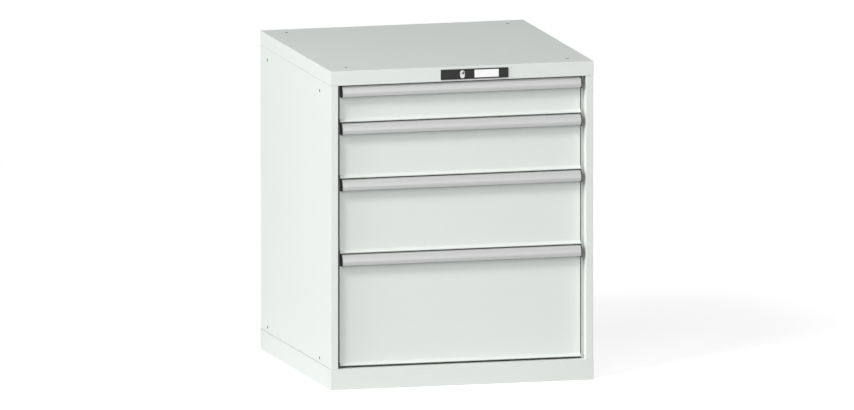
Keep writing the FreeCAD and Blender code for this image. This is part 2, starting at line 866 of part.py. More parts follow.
def grip_centre(top):
    """Centre of the handle's bowed front, as (y, z)."""
    return PANEL_FACE - cell("handle_proud") + cell("handle_bow"), top - cell("handle_bow_drop")


def bow_point(centre, radius, z):
    """Where a bow of that radius stands at a height, as numbers."""
    return centre[0].value - math.sqrt(radius.value ** 2 - (z - centre[1]).value ** 2), z.value


def bow_arc(sketch, centre, radius, high, low):
    """Bowed front of the handle between two heights."""
    ring = Part.Circle(vector(centre), AXES["z"], radius.value)
    angles = [math.pi - math.asin((z - centre[1]).value / radius.value) for z in (high, low)]
    arc = sketch.addGeometry(Part.ArcOfCircle(ring, *angles), False)
    hold(sketch, arc, CENTRE, centre)
    hold_radius(sketch, arc, radius)
    hold(sketch, arc, START, (None, high))
    hold(sketch, arc, FINISH, (None, low))
    return arc


def chain(sketch, points):
    """An open chain of straight edges with its inner corners held; returns its edges."""
    edges = []
    for start, finish in zip(points, points[1:]):
        edges.append(sketch.addGeometry(Part.LineSegment(vector(start), vector(finish)), False))
    for first, second, corner in zip(edges, edges[1:], points[1:]):
        sketch.addConstraint(Sketcher.Constraint("Coincident", first, FINISH, second, START))
        hold(sketch, second, START, corner)
    return edges


def join_ends(sketch, *joints):
    for first, first_end, second, second_end in joints:
        sketch.addConstraint(Sketcher.Constraint("Coincident", first, first_end, second, second_end))


def handle(name, top):
    """Open extrusion: a lap over the panel's top edge, a flange down its face and the bowed grip."""
    body = new_body(name)
    half = cell("front_width") / 2 - cell("cap_thick")
    wall = cell("handle_wall")
    face = PANEL_FACE
    centre = grip_centre(top)
    outer = cell("handle_bow")
    inner = outer - wall
    under = top - wall
    crease = top - cell("handle_crease_drop")
    end_z = top - cell("handle_end_drop")
    flange_low = top - cell("handle_flange_drop")
    tip = face - cell("handle_proud") + cell("handle_lean")
    high_outer = bow_point(centre, outer, top)
    high_inner = bow_point(centre, inner, under)
    sketch = new_sketch(body, "side", -half)
    back = chain(sketch, [
        high_inner, (face - wall, under), (face - wall, flange_low), (face, flange_low), (face, under),
        (face + SHEET, under), (face + SHEET, top), high_outer,
    ])
    front = chain(sketch, [bow_point(centre, outer, crease), (tip, end_z), (tip + wall, end_z),
                           bow_point(centre, inner, crease)])
    grip = bow_arc(sketch, centre, outer, top, crease)
    hollow = bow_arc(sketch, centre, inner, under, crease)
    join_ends(sketch, (back[-1], FINISH, grip, START), (grip, FINISH, front[0], START),
              (front[-1], FINISH, hollow, FINISH), (hollow, START, back[0], START))
    pad(body, sketch, half * 2)
    round_off(body, cell("handle_corner"), {"axis": "x", "y": [high_outer[0]], "z": [top]})
    round_off(body, cell("handle_corner") - wall, {"axis": "x", "y": [high_inner[0]], "z": [under]})
    return body


def handle_caps(name, top):
    """Two end caps with the filled outline of the handle, deeper than it below."""
    body = new_body(name + "_right")
    face = PANEL_FACE
    centre = grip_centre(top)
    bow = cell("handle_bow")
    crease = top - cell("handle_crease_drop")
    low = top - cell("cap_end_drop")
    tip = face - cell("handle_proud") + cell("handle_lean")
    high_front = bow_point(centre, bow, top)
    sketch = new_sketch(body, "side", cell("front_width") / 2 - cell("cap_thick"))
    lines = chain(sketch, [bow_point(centre, bow, crease), (tip, low), (face, low), (face, top), high_front])
    grip = bow_arc(sketch, centre, bow, top, crease)
    join_ends(sketch, (lines[-1], FINISH, grip, START), (grip, FINISH, lines[0], START))
    pad(body, sketch, cell("cap_thick"))
    round_off(body, cell("handle_corner"), {"axis": "x", "y": [high_front[0]], "z": [top]})
    round_off(body, cell("cap_corner"), {"axis": "x", "y": [tip], "z": [low]})
    return pair(name, body)


def cabinet_rails(name, base):
    """Two C rails, open towards the drawer, each hooked into its front and its rear column."""
    body = new_body(name + "_right")
    low = rail_low(base)
    high = low + cell("rail_tall")
    flange = cell("rail_flange")
    near = FRONT + cell("rail_front")
    sketch = new_sketch(body, "front", near)
    outline(sketch, [
        (cell("rail_inner"), low), (COLUMN_IN, low), (COLUMN_IN, high), (cell("rail_inner"), high),
        (cell("rail_inner"), high - flange), (cell("rail_web"), high - flange),
        (cell("rail_web"), low + flange), (cell("rail_inner"), low + flange),
    ])
    pad(body, sketch, cell("rail_length"))
    half = cell("rail_hook_width") / 2
    hook_low = low + cell("rail_hook_rise")
    for column_near in (cell("column_front"), cell("column_rear")):
        middle = FRONT + column_near + cell("column_depth") / 2
        sketch = new_sketch(body, "side", cell("rail_web"))
        rectangle(sketch, (middle - half, middle + half), (hook_low, hook_low + cell("rail_hook_tall")))
        pad(body, sketch, cell("rail_sheet") + cell("rail_hook_reach"))
    return pair(name, body)


def runner(name, base):
    """Right-hand runner of a drawer: a web on the tray's side and a flange that rides on the rollers."""
    body = new_body(name)
    low = rail_low(base)
    tray_side = cell("tray_width") / 2 + cell("tray_sheet")
    web = tray_side + cell("runner_sheet")
    flange_high = low + cell("roller_rise") * 2
    sketch = new_sketch(body, "front", TRAY_FRONT)
    outline(sketch, [
        (tray_side, low - cell("runner_drop")), (web, low - cell("runner_drop")),
        (web, flange_high - cell("runner_sheet")), (cell("runner_reach"), flange_high - cell("runner_sheet")),
        (cell("runner_reach"), flange_high), (tray_side, flange_high),
    ])
    pad(body, sketch, cell("runner_length"))
    return body


def drawer_rails(name, base):
    """Two runners; the left one carries the catch that stops behind the lock bar's hook."""
    right = runner(name + "_right", base)
    low = rail_low(base)
    tray_side = cell("tray_width") / 2 + cell("tray_sheet")
    web = tray_side + cell("runner_sheet")
    near = FRONT + cell("catch_front")
    high = low + cell("catch_rise") + cell("catch_tall")
    plate = block(name + "_catch_plate", (-web, -tray_side), (near, near + cell("catch_length")),
                  (low + cell("roller_rise") * 2, high))
    blade = block(name + "_catch_blade", (-cell("catch_reach"), -web), (near, near + cell("catch_sheet")),
                  (low + cell("catch_rise"), high))
    left = fuse(name + "_left", [mirrored(name + "_mirror", right), plate, blade])
    return group(name, [right, left])


def axle_place(base, axis_y):
    """Centre of a roller as (y, z)."""
    return FRONT + axis_y, rail_low(base) + cell("roller_rise")


def carriages(name, base):
    """Two flat carriages, each with three riveted pins that hold the rollers between shoulder and head."""
    inner = cell("carriage_inner")
    outer = inner + cell("carriage_sheet")
    near = FRONT + cell("carriage_front")
    low = rail_low(base) + cell("carriage_rise")
    pieces = [block(name + "_plate", (inner, outer), (near, near + cell("carriage_length")),
                    (low, low + cell("carriage_tall")))]
    shoulder_end = cell("roller_inner") - cell("pin_end_play")
    head_start = cell("roller_inner") + cell("roller_width") + cell("pin_end_play")
    for spot in ("roller_front", "roller_middle", "roller_rear"):
        y, z = axle_place(base, cell(spot))
        pin = f"{name}_{spot}"
        pieces += [
            rod(pin + "_pin", "x", (inner, y, z), head_start - inner, cell("pin_radius")),
            rod(pin + "_shoulder", "x", (outer, y, z), shoulder_end - outer, cell("pin_head_radius")),
            rod(pin + "_head", "x", (head_start, y, z), cell("pin_head"), cell("pin_head_radius")),
        ]
    return pair(name, fuse(name + "_right", pieces))


def rollers(name, base, axis_y):
    """The left and the right roller on one axis of the carriages."""
    body = new_body(name + "_right")
    y, z = axle_place(base, axis_y)
    inner = cell("roller_inner")
    outer = inner + cell("roller_width")
    rim = z + cell("roller_radius")
    bore = z + cell("pin_radius") + cell("pin_play")
    chamfer = cell("roller_chamfer")
    sketch = new_sketch(body, "front", y)
    outline(sketch, [
        (inner, bore), (inner, rim - chamfer), (inner + chamfer, rim), (outer - chamfer, rim),
        (outer, rim - chamfer), (outer, bore),
    ])
    axis = sketch.addGeometry(Part.LineSegment(vector((inner, z)), vector((outer, z))), True)
    hold(sketch, axis, START, (inner, z))
    hold(sketch, axis, FINISH, (outer, z))
    turn = body.newObject("PartDesign::Revolution", f"{name}_turn")
    turn.Profile = sketch
    turn.ReferenceAxis = (sketch, ["Axis0"])
    turn.Angle = 360
    doc.recompute()
    return pair(name, body)


def drawer(name, base, pitch):
    """All nodes of one drawer and its slides."""
    top = base + pitch - cell("gap")
    return [
        tray(name + "_tray", base, pitch),
        drawer_front(name + "_front", base, pitch),
        handle(name + "_handle", top),
        handle_caps(name + "_handle_caps", top),
        drawer_rails(name + "_rails", base),
        cabinet_rails(name + "_cabinet_rails", base),
        carriages(name + "_carriages", base),
        rollers(name + "_rollers_front", base, cell("roller_front")),
        rollers(name + "_rollers_middle", base, cell("roller_middle")),
        rollers(name + "_rollers_rear", base, cell("roller_rear")),
    ]


def housing():
    """Fixed sheet-metal pieces of the cabinet."""
    right = side_panel()
    nodes = [top_cover(), base_plinth(), bottom_panel(), right, mirrored("side_panel_left", right),
             back_panel(), housing_screws(), lock_crossmember()]
    for place_name in ("front", "rear"):
        post = column(f"column_{place_name}_right", FRONT + cell(f"column_{place_name}"))
        nodes += [post, mirrored(f"column_{place_name}_left", post)]
    return nodes


def lock(bases):
    """The central lock, from the fascia to the bar in the left front corner."""
    return [lock_strip(), label_card(), lock_cylinder(), lock_plug(), lock_cam(), lock_link(),
            lock_bar(bases), lock_bar_guides()]


def write_nodes(nodes):
    """Checks the whole document, then writes one file for each node."""
    doc.recompute()
    for thing in doc.Objects:
        if {"Invalid", "Error"} & set(thing.State):
            raise RuntimeError(f"{thing.Label} failed: {thing.State}")
    os.makedirs("parts", exist_ok=True)
    for node in nodes:
        shape = node.Shape
        if shape.isNull() or not shape.isValid() or not shape.Solids or shape.Volume < TINY:
            raise RuntimeError(f"{node.Label} has no sound solid")
        shape.exportStep(f"parts/{node.Label}.step")
        print(f"{node.Label}: {len(shape.Solids)} solids, {shape.Volume / 1000:.1f} cm3")
    print(f"{len(nodes)} nodes")


pitches = [cell(alias) for alias in DRAWER_HEIGHTS]
bases = []
level = cell("drawer_base")
for pitch in reversed(pitches):
    bases.insert(0, level)
    level = level + pitch

nodes = housing() + lock(bases)
for number, (base, pitch) in enumerate(zip(bases, pitches), start=1):
    nodes += drawer(f"drawer_{number}", base, pitch)
write_nodes(nodes)
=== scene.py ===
"""Looks of the multi-drawer cabinet: finishes, small details, studio and camera.

Metres, +Z up, the drawers open towards -Y. Every piece takes its place from the frame.
"""

import json
import math

import bmesh
import bpy
from mathutils import Matrix, Vector


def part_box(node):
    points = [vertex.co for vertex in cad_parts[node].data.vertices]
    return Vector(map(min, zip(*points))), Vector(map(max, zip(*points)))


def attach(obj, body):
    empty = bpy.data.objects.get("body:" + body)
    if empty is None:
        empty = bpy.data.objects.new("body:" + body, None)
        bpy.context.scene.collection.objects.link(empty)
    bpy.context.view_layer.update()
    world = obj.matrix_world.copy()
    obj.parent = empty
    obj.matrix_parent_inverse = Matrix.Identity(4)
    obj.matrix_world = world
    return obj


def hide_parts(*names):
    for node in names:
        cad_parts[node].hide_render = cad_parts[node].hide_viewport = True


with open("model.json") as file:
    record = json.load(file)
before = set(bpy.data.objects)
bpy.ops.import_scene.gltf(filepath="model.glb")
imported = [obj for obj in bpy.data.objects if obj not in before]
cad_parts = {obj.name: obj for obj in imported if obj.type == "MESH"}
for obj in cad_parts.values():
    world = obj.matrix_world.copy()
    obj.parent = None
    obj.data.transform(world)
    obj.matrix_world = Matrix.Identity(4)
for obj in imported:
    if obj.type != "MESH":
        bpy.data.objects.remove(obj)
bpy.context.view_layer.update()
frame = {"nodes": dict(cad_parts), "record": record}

MM = 0.001
WHITE = (1.0, 1.0, 1.0, 1.0)

NODES = frame["nodes"]
SLOT_OF = {entry["node"]: entry["material_slot"] for entry in frame["record"]["subparts"]}
DRAWERS = range(1, 5)
SIDES = (("left", -1), ("right", 1))

# Camera, which is orthographic: angles in degrees, round the cabinet's middle
CAMERA_AZIMUTH = -14.836
CAMERA_ELEVATION = 8.946
CAMERA_WIDTH = 2249.74 * MM
CAMERA_DISTANCE = 10.0
CAMERA_NEAR = 1.0
CAMERA_FAR = 100.0
CAMERA_RIGHT = 0.109 * MM
CAMERA_UP = -0.02 * MM
CAMERA_TARGET = Vector((0.0, 1.5 * MM, 425 * MM))

# Studio: each lamp has its azimuth, elevation and power in watts
SKY_STRENGTH = 0.1
FLOOR_RADIUS = 3.5
FLOOR_CORNERS = 96
FLOOR_COLOUR = (0.52, 0.52, 0.52)
FLOOR_GLOW = 0.78
LAMP_DISTANCE = 10.0
LAMP_SIZE = 2.6
LAMPS = {
    "left_low": (-78.0, 12.0, 436.0),
    "left_high": (-52.0, 40.0, 530.0),
    "front_key": (-26.0, 25.0, 196.0),
    "front_low": (5.0, 12.0, 222.0),
    "rear_fill": (125.0, 5.0, 300.0),
}

# Shading: the usual span of a noise, and the sockets of a colour mix
NOISE_LOW = 0.3
NOISE_HIGH = 0.7
MIX_FACTOR = 0
MIX_DARK = 6
MIX_LIGHT = 7
MIX_RESULT = 2


def shader(name, colour, roughness, metallic=0.0, specular=0.5):
    """A new material, its node tree and its Principled node."""
    material = bpy.data.materials.new(name)
    material.use_nodes = True
    tree = material.node_tree
    surface = tree.nodes["Principled BSDF"]
    surface.inputs["Base Color"].default_value = (*colour, 1.0)
    surface.inputs["Roughness"].default_value = roughness
    surface.inputs["Metallic"].default_value = metallic
    surface.inputs["Specular IOR Level"].default_value = specular
    return material, tree, surface


def add_node(tree, kind, inputs=None, **settings):
    """A new node with its settings and the values of its inputs."""
    node = tree.nodes.new(kind)
    for name, value in settings.items():
        setattr(node, name, value)
    for name, value in (inputs or {}).items():
        node.inputs[name].default_value = value
    return node


def object_noise(tree, scale, stretch=(1.0, 1.0, 1.0), detail=2.0):
    """Noise in the cabinet's own metres, stretched along its axes; scale is features per metre."""
    place = add_node(tree, "ShaderNodeTexCoord")
    mapping = add_node(tree, "ShaderNodeMapping", {"Scale": stretch})
    noise = add_node(tree, "ShaderNodeTexNoise", {"Scale": scale, "Detail": detail})
    tree.links.new(place.outputs["Object"], mapping.inputs["Vector"])
    tree.links.new(mapping.outputs["Vector"], noise.inputs["Vector"])
    return noise.outputs["Fac"]


def spread(tree, source, low, high):
    """Maps a noise from its usual span to a range."""
    limits = {"From Min": NOISE_LOW, "From Max": NOISE_HIGH, "To Min": low, "To Max": high}
    span = add_node(tree, "ShaderNodeMapRange", limits)
    tree.links.new(source, span.inputs["Value"])
    return span.outputs["Result"]


def tint(tree, surface, colour, source, amount):
    """Makes the colour a little lighter and darker along a noise."""
    mix = add_node(tree, "ShaderNodeMix", data_type="RGBA")
    mix.inputs[MIX_DARK].default_value = (*[part * (1 - amount) for part in colour], 1.0)
    mix.inputs[MIX_LIGHT].default_value = (*[min(1.0, part * (1 + amount)) for part in colour], 1.0)
    tree.links.new(spread(tree, source, 0.0, 1.0), mix.inputs[MIX_FACTOR])
    tree.links.new(mix.outputs[MIX_RESULT], surface.inputs["Base Color"])


def gloss(tree, surface, source, low, high):
    """Lets the roughness change between two values along a noise."""
    tree.links.new(spread(tree, source, low, high), surface.inputs["Roughness"])


def relief(tree, surface, source, depth):
    """A bump of a real depth in metres."""
    bump = add_node(tree, "ShaderNodeBump", {"Strength": 1.0, "Distance": depth})
    tree.links.new(source, bump.inputs["Height"])
    tree.links.new(bump.outputs["Normal"], surface.inputs["Normal"])


def powder_coat(name, colour):
    """Satin powder coat: a fine orange-peel skin with the faintest change of colour."""
    material, tree, surface = shader(name, colour, roughness=0.5, specular=0.35)
    tint(tree, surface, colour, object_noise(tree, scale=2.5), amount=0.006)
    gloss(tree, surface, object_noise(tree, scale=350.0), low=0.46, high=0.56)
    relief(tree, surface, object_noise(tree, scale=900.0, detail=3.0), depth=0.02 * MM)
    return material


def anodised(name, colour):
    """Matt anodised extrusion with fine draw lines along its length."""
    material, tree, surface = shader(name, colour, roughness=0.55, metallic=0.12)
    lines = object_noise(tree, scale=2500.0, stretch=(0.004, 1.0, 1.0))
    tint(tree, surface, colour, lines, amount=0.02)
    gloss(tree, surface, lines, low=0.38, high=0.5)
    relief(tree, surface, lines, depth=0.008 * MM)
    return material


def moulded_plastic(name, colour, roughness):
    """Moulded plastic with a fine eroded grain."""
    material, tree, surface = shader(name, colour, roughness, specular=0.28)
    grain = object_noise(tree, scale=1800.0, detail=3.0)
    gloss(tree, surface, grain, low=roughness - 0.06, high=roughness + 0.08)
    tint(tree, surface, colour, grain, amount=0.05)
    relief(tree, surface, grain, depth=0.015 * MM)
    return material


def plated_steel(name, colour, roughness=0.32):
    """Zinc or nickel plate with a cloudy lustre and fine rolling marks."""
    material, tree, surface = shader(name, colour, roughness, metallic=1.0)
    clouds = object_noise(tree, scale=60.0, detail=3.0)
    tint(tree, surface, colour, clouds, amount=0.06)
    marks = object_noise(tree, scale=1500.0, stretch=(1.0, 0.02, 1.0))
    gloss(tree, surface, marks, low=roughness - 0.06, high=roughness + 0.1)
    relief(tree, surface, marks, depth=0.004 * MM)
    return material


def card_stock(name, colour):
    """Plain uncoated card with paper fibre."""
    material, tree, surface = shader(name, colour, roughness=0.7)
    fibre = object_noise(tree, scale=1200.0, stretch=(0.4, 1.0, 1.0), detail=4.0)
    tint(tree, surface, colour, fibre, amount=0.01)
    relief(tree, surface, fibre, depth=0.01 * MM)
    return material


# Finish, colour and, for plastic and the lock, roughness of each of the record's slots
PAINT = (0.745, 0.782, 0.752)
STEEL = (0.46, 0.465, 0.47)
FINISHES = {
    "housing_paint": (powder_coat, PAINT),
    "tray_paint": (powder_coat, PAINT),
    "inner_steel": (powder_coat, PAINT),
    "handle_aluminium": (anodised, (0.525, 0.527, 0.525)),
    "cap_black": (moulded_plastic, (0.012, 0.012, 0.012), 0.55),
    "lock_black": (moulded_plastic, (0.016, 0.016, 0.016), 0.6),
    "label_white": (card_stock, (0.975, 0.975, 0.97)),
    "lock_metal": (plated_steel, (0.56, 0.555, 0.545), 0.3),
    "zinc_steel": (plated_steel, STEEL),
    "rail_steel": (plated_steel, STEEL),
    "screw_steel": (plated_steel, STEEL),
    "roller_plastic": (moulded_plastic, (0.74, 0.73, 0.68), 0.4),
}
MATERIALS = {slot: finish(slot, *values) for slot, (finish, *values) in FINISHES.items()}


def dress(cad_object, material):
    """Gives a CAD object its one material."""
    cad_object.data.materials.clear()
    cad_object.data.materials.append(material)


for node, cad_object in NODES.items():
    dress(cad_object, MATERIALS[SLOT_OF[node]])


# Rounded edges, by the radius that sheet, thin parts, the grips and the card have
WELD_DISTANCE = 0.01 * MM
FLAT_ANGLE = math.radians(0.5)
EDGE_ANGLE = math.radians(40)
EDGE_SEGMENTS = 2
SHEET_EDGE = 0.45 * MM
THIN_EDGE = 0.3 * MM
GRIP_EDGE = 0.2 * MM
CARD_EDGE = 0.1 * MM
SOFT_EDGES = {
    "top_cover": SHEET_EDGE,
    "side_panel_left": SHEET_EDGE,
    "side_panel_right": SHEET_EDGE,
    "base_plinth": SHEET_EDGE,
    "back_panel": THIN_EDGE,
    "lock_strip": THIN_EDGE,
    "lock_cylinder": THIN_EDGE,
    "label_card": CARD_EDGE,
}
for drawer in DRAWERS:
    SOFT_EDGES[f"drawer_{drawer}_front"] = THIN_EDGE
    SOFT_EDGES[f"drawer_{drawer}_handle"] = GRIP_EDGE
    SOFT_EDGES[f"drawer_{drawer}_handle_caps"] = THIN_EDGE


def weld_nodes():
    """Geometry nodes that join the solid's split edges and drop its stored normals."""
    group = bpy.data.node_groups.new("weld", "GeometryNodeTree")
    group.interface.new_socket("Geometry", in_out="INPUT", socket_type="NodeSocketGeometry")
    group.interface.new_socket("Geometry", in_out="OUTPUT", socket_type="NodeSocketGeometry")
    steps = [
        add_node(group, "NodeGroupInput"),
        add_node(group, "GeometryNodeMergeByDistance", {"Distance": WELD_DISTANCE}),
        add_node(group, "GeometryNodeRemoveAttribute", {"Name": "custom_normal"}),
        add_node(group, "GeometryNodeSetShadeSmooth"),
        add_node(group, "NodeGroupOutput"),
    ]
    for first, second in zip(steps, steps[1:]):
        group.links.new(first.outputs["Geometry"], second.inputs["Geometry"])
    return group


def soften(cad_object, radius, weld):
    """Rounds the cut edges by the little that sheet, paint or moulding does."""
    cad_object.modifiers.new("weld", "NODES").node_group = weld
    flat = cad_object.modifiers.new("flat", "DECIMATE")
    flat.decimate_type = "DISSOLVE"
    flat.angle_limit = FLAT_ANGLE
    edge = cad_object.modifiers.new("edge", "BEVEL")
    edge.width = radius
    edge.segments = EDGE_SEGMENTS
    edge.limit_method = "ANGLE"
    edge.angle_limit = EDGE_ANGLE
    edge.use_clamp_overlap = True
    edge.harden_normals = True
    even = cad_object.modifiers.new("even", "WEIGHTED_NORMAL")
    even.keep_sharp = True


weld_group = weld_nodes()
for node, radius in SOFT_EDGES.items():
    soften(NODES[node], radius, weld_group)


# Mesh tools for the new pieces
SHARP_ANGLE = math.radians(35)
CIRCLE_POINTS = 48
ARCH_STEPS = 8


def built(name, body, materials, make):
    """A new piece of its own, made by a mesh function and carried by a body."""
    mesh = bpy.data.meshes.new(name)
    work = bmesh.new()
    make(work)
    bmesh.ops.recalc_face_normals(work, faces=work.faces)
    work.to_mesh(mesh)
    work.free()
    mesh.shade_smooth()
    mesh.set_sharp_from_angle(angle=SHARP_ANGLE)
    for material in materials:
        mesh.materials.append(material)
    piece = bpy.data.objects.new(name, mesh)
    bpy.context.scene.collection.objects.link(piece)
    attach(piece, body)
    return piece


def towards(axis, origin):
    """A frame at a point whose own z runs along the axis."""
    turn = Vector(axis).to_track_quat("Z", "Y").to_matrix().to_4x4()
    return Matrix.Translation(origin) @ turn


def ring(work, place, points, along):
    """A closed loop of vertices, drawn at a height over the place."""
    return [work.verts.new(place @ Vector((x, y, along))) for x, y in points]


def rings(work, place, sizes, points=CIRCLE_POINTS):
    """Round loops, each given by its radius and its height over the place."""
    return [ring(work, place, circle(radius, points), along) for radius, along in sizes]


def circle(radius, points=CIRCLE_POINTS, first=0.0, last=math.tau):
    """Points on a circle or, between two angles, on an arc with both its ends."""
    whole = last - first == math.tau
    step = (last - first) / (points if whole else points - 1)
    angles = [first + step * k for k in range(points)]
    return [(radius * math.cos(angle), radius * math.sin(angle)) for angle in angles]


def arch(middle, reach, rise):
    """Points on half an ellipse, from its right end over its top to its left end."""
    angles = [math.pi * k / ARCH_STEPS for k in range(ARCH_STEPS + 1)]
    return [(middle[0] + reach * math.cos(angle), middle[1] + rise * math.sin(angle)) for angle in angles]


def scaled(points, factor):
    """The same points, nearer to or farther from the middle."""
    return [(x * factor, y * factor) for x, y in points]


def rectangle(x_one, x_two, y_one, y_two):
    """The corners of a rectangle."""
    return [(x_one, y_one), (x_two, y_one), (x_two, y_two), (x_one, y_two)]


def band(work, lower, upper, slot=0):
    """Faces between two loops of as many vertices."""
    for k in range(len(lower)):
        following = (k + 1) % len(lower)
        face = work.faces.new((lower[k], lower[following], upper[following], upper[k]))
        face.material_index = slot


def bands(work, loops, slot=0):
    """Faces from each loop to the next."""
    for lower, upper in zip(loops, loops[1:]):
        band(work, lower, upper, slot)


def capped(work, loop, slot=0):
    """One flat face over a loop."""
    work.faces.new(loop).material_index = slot


def holed(work, outer, inner, slot=0):
    """A flat face between a loop and the opening inside it."""
    edges = []
    for loop in (outer, inner):
        for k in range(len(loop)):
            pair = (loop[k], loop[(k + 1) % len(loop)])
            edges.append(work.edges.get(pair) or work.edges.new(pair))
    for item in bmesh.ops.triangle_fill(work, edges=edges, use_beauty=True)["geom"]:
        if isinstance(item, bmesh.types.BMFace):
            item.material_index = slot


def prism(work, outline, low, high):
    """A plan outline raised from one height to another."""
    loops = [[work.verts.new((x, y, z)) for x, y in outline] for z in (low, high)]
    bands(work, loops)
    for loop in loops:
        capped(work, loop)


# Black bushes in the fixing holes: painted shade that darkens the holes
HOLE_LINING = 0.35 * MM
HOLE_DEPTH = 6.0 * MM
HOLE_SINK = 0.02 * MM
HOLE_RIM = 0.32 * MM
HOLE_PLAY = 0.02 * MM


def fixing_places():
    """The fixing holes of the record's mounts: a frame with z out of the sheet, and the radius."""
    for mount in frame["record"]["mounts"]:
        if mount["kind"] != "bolt_pattern":
            continue
        middle = Vector(mount["pos_m"])
        axis = Vector(mount["axis"])
        on_top = abs(axis.z) > abs(axis.x)
        half_one = mount["dims"]["spacing_x_mm"] / 2 * MM
        half_two = mount["dims"]["spacing_y_mm"] / 2 * MM
        for one in (-half_one, half_one):
            for two in (-half_two, half_two):
                offset = Vector((one, two, 0.0)) if on_top else Vector((0.0, one, two))
                yield towards(axis, middle + offset), mount["dims"]["hole_r_mm"] * MM


def hole_shade_bushes(work):
    """A thin black bush with a closed end in each fixing hole, painted shade that darkens the hole."""
    for place, radius in fixing_places():
        outside = radius - HOLE_PLAY
        inside = radius - HOLE_LINING
        loops = rings(work, place, (
            (outside, -HOLE_DEPTH),
            (outside, -HOLE_RIM),
            (radius + HOLE_RIM, -HOLE_SINK),
            (inside, -HOLE_SINK * 2),
            (inside, -(HOLE_DEPTH - HOLE_LINING)),
        ))
        bands(work, loops)
        capped(work, loops[0])
        capped(work, loops[-1])


# black bushes that paint the shade inside the fixing holes
shade_bushes = built("fixing_hole_shade_bushes", "housing", [MATERIALS["lock_black"]], hole_shade_bushes)


# Black strips in the housing's seams and beside the drawers: painted shade
UPRIGHT_WIDTH = 20.0 * MM
UPRIGHT_RETURN = 30.5 * MM
SEAM_DEEP = 1.2 * MM
SEAM_PROUD = 0.03 * MM
SEAM_FRONT = {"low": 0.22 * MM, "high": 0.4 * MM}
SEAM_SIDE = {"low": 0.75 * MM, "high": 0.85 * MM}
SHADE_STRIP_WIDE = 2.7 * MM
SHADE_STRIP_THICK = 0.5 * MM
SHADE_STRIP_SUNK = 0.1 * MM


def side_panel(side, sign):
    """A side panel's low and high corner, and the x of its inner flange and of its outer wall."""
    low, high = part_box(f"side_panel_{side}")
    inner, outer = (low.x, high.x) if sign > 0 else (high.x, low.x)
    return low, high, inner, outer


def seam_shade_strips(work):
    """A thin black strip under the cover and on the plinth, round the outside of each side panel: painted
    shade in the seams.
    """
    for side, sign in SIDES:
        low, high, _, outer = side_panel(side, sign)
        outside = outer + sign * SEAM_PROUD
        near = low.y - SEAM_PROUD
        far = near + SEAM_DEEP
        across = rectangle(outer - sign * UPRIGHT_WIDTH, outside, near, far)
        along = rectangle(outside, outside - sign * SEAM_DEEP, far, high.y)
        for outline, tall in ((across, SEAM_FRONT), (along, SEAM_SIDE)):
            prism(work, outline, low.z, low.z + tall["low"])
            prism(work, outline, high.z - tall["high"], high.z)


def opening_shade_strips(work):
    """A black strip on each upright's inner flange beside the drawers: painted shade where the drawer
    fronts shadow the flange.
    """
    for side, sign in SIDES:
        low, high, inner, _ = side_panel(side, sign)
        # the black strip paints the shade that the drawer front casts on the flange
        half = SHADE_STRIP_WIDE / 2
        middle = inner + sign * half
        face = low.y + UPRIGHT_RETURN
        outline = arch((middle, face), half, -SHADE_STRIP_THICK)
        outline += [(middle - half, face + SHADE_STRIP_SUNK), (middle + half, face + SHADE_STRIP_SUNK)]
        prism(work, outline, low.z + SHADE_STRIP_THICK, high.z - SHADE_STRIP_THICK)


# black strips that paint shade in the seams and in the gaps beside the drawers
for trim_name, make_trim in (("seam_shade_strips", seam_shade_strips), ("opening_shade_strips", opening_shade_strips)):
    trim = built(trim_name, "housing", [MATERIALS["lock_black"]], make_trim)


# Back panel's screws: the profile, the tip and the recess's floor are shares of the full size
SCREW_RADIUS = 2.0 * MM
SCREW_HEAD = 1.0 * MM
SCREW_PROFILE = ((1.0, 0.0), (1.0, 0.35), (0.93, 0.7), (0.8, 0.93), (0.62, 1.0))
SCREW_TIP = 0.6
CROSS_ARM = 1.75 * MM
CROSS_HALF = 0.42 * MM
CROSS_DEPTH = 0.7 * MM
CROSS_FLOOR = 0.6
THREAD_PITCH = 0.7 * MM
THREAD_DEPTH = 0.22 * MM


def loose_boxes(cad_object):
    """The low and high corner of each separate solid in a node, in order of their low corners."""
    work = bmesh.new()
    work.from_mesh(cad_object.data)
    bmesh.ops.remove_doubles(work, verts=work.verts, dist=WELD_DISTANCE)
    left = set(work.verts)
    boxes = []
    while left:
        found = {left.pop()}
        newest = set(found)
        while newest:
            newest = {edge.other_vert(vert) for vert in newest for edge in vert.link_edges} - found
            found |= newest
        left -= found
        axes = list(zip(*[vert.co for vert in found]))
        boxes.append([Vector([pick(values) for values in axes]) for pick in (min, max)])
    work.free()
    return sorted(boxes, key=lambda box: [round(value, 4) for value in box[0]])


def cross_outline():
    """The corners of a cross recess."""
    arm, half = CROSS_ARM, CROSS_HALF
    corners = []
    for quarter in range(4):
        cosine, sine = math.cos(math.tau / 4 * quarter), math.sin(math.tau / 4 * quarter)
        for x, y in ((half, half), (half, arm), (-half, arm)):
            corners.append((x * cosine - y * sine, x * sine + y * cosine))
    return corners


def pan_head(work, place, radius):
    """A pan head with a cross recess, z out of the sheet; returns the loop round its underside."""
    loops = rings(work, place, [(radius * wide, SCREW_HEAD * high) for wide, high in SCREW_PROFILE])
    bands(work, loops)
    mouth = ring(work, place, cross_outline(), SCREW_HEAD)
    floor = ring(work, place, scaled(cross_outline(), CROSS_FLOOR), SCREW_HEAD - CROSS_DEPTH)
    holed(work, loops[-1], mouth)
    band(work, mouth, floor)
    capped(work, floor)
    return loops[0]


def thread_sizes(length):
    """Radius and height of each crest and root of the thread, and of the tip, below the head."""
    sizes = []
    for half_turn in range(int(length / THREAD_PITCH) * 2):
        depth = THREAD_DEPTH if half_turn % 2 else 0.0
        sizes.append((SCREW_RADIUS - depth, -THREAD_PITCH / 2 * half_turn))
    return sizes + [(SCREW_RADIUS * SCREW_TIP, -length)]


